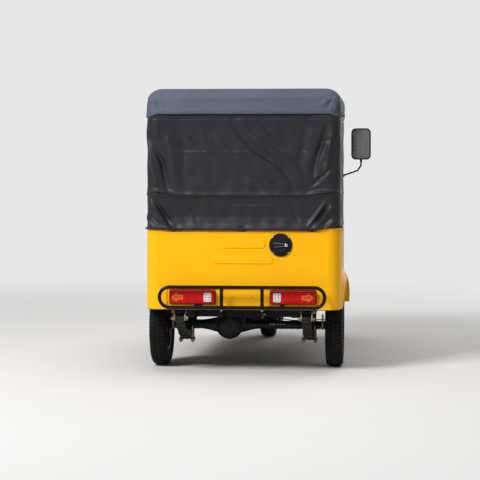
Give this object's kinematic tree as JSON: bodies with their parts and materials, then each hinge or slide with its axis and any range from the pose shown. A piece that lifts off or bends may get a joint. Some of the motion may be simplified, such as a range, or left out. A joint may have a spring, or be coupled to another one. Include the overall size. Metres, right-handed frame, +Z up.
{
  "type": "auto rickshaw",
  "caption": "Three-wheeled passenger rickshaw with a single steered front wheel, a sheet-metal rear tub on leaf springs, a canvas hood with a rear curtain, and open side doorways.",
  "frame": {"origin": "on the ground under the centre of the overall length and width", "axes": "+Y towards the vehicle's front, +X towards its right side, +Z up"},
  "size_m": [1.543, 2.795, 1.7843],
  "materials": {
    "yellow_paint": "gloss",
    "black_paint": "gloss",
    "chassis_paint": "semi-gloss",
    "floor_steel": "satin",
    "engine_metal": "as cast",
    "hood_canvas": "coated, semi-matte",
    "seat_vinyl": "grained vinyl",
    "tyre_rubber": "matt",
    "rim_steel": "satin silver",
    "lamp_red": "moulded lens",
    "lamp_clear": "clear lens",
    "screen_glass": "clear",
    "black_plastic": "moulded",
    "zinc_steel": "zinc plated"
  },
  "bodies": {
    "root": {"chassis_frame": "chassis_paint", "rear_body": "yellow_paint", "wheel_houses": "black_paint", "floor_pan": "floor_steel", "side_sills": "yellow_paint", "seat_box": "floor_steel", "seat_back_board": "black_paint", "rear_seat_cushion": "seat_vinyl", "rear_seat_back": "seat_vinyl", "engine_cover": "yellow_paint", "engine": "engine_metal", "exhaust_silencer": "engine_metal", "propeller_shaft": "chassis_paint", "rear_axle_housing": "chassis_paint", "brake_backing_plates": "chassis_paint", "leaf_spring_right": "chassis_paint", "leaf_spring_left": "chassis_paint", "spring_shackles": "zinc_steel", "rear_bumper": "black_paint", "tail_lamp_right": "lamp_red", "tail_lamp_left": "lamp_red", "fuel_cap": "black_plastic", "front_cowl": "yellow_paint", "headlamps": "lamp_clear", "dash_panel": "black_plastic", "windscreen_frame": "black_paint", "windscreen_glass": "screen_glass", "hood_posts": "black_paint", "hood_bows": "black_paint", "roof_cover": "hood_canvas", "rear_curtain": "hood_canvas", "partition_rail": "black_paint", "driver_seat_cushion": "seat_vinyl", "driver_seat_back": "seat_vinyl", "mirror_right": "black_plastic", "mirror_left": "black_plastic"},
    "steering": {"front_fork": "black_paint", "front_mudguard": "black_paint", "handlebar": "black_paint"},
    "front_wheel": {"front_tyre": "tyre_rubber", "front_rim": "rim_steel"},
    "rear_wheel_right": {"rear_tyre_right": "tyre_rubber", "rear_rim_right": "rim_steel"},
    "rear_wheel_left": {"rear_tyre_left": "tyre_rubber", "rear_rim_left": "rim_steel"}
  },
  "joints": [
    {"name": "steer", "type": "hinge", "parent": "root", "child": "steering", "pos_m": [0, 1.0895, 0.265], "axis": [0, -0.342, 0.9397], "range_deg": [-38, 38]},
    {"name": "front_wheel_spin", "type": "hinge", "parent": "steering", "child": "front_wheel", "pos_m": [0, 1.1325, 0.265], "axis": [1, 0, 0], "continuous": true},
    {"name": "rear_wheel_right_spin", "type": "hinge", "parent": "root", "child": "rear_wheel_right", "pos_m": [0.564, -0.8675, 0.265], "axis": [1, 0, 0], "continuous": true},
    {"name": "rear_wheel_left_spin", "type": "hinge", "parent": "root", "child": "rear_wheel_left", "pos_m": [-0.564, -0.8675, 0.265], "axis": [1, 0, 0], "continuous": true}
  ]
}
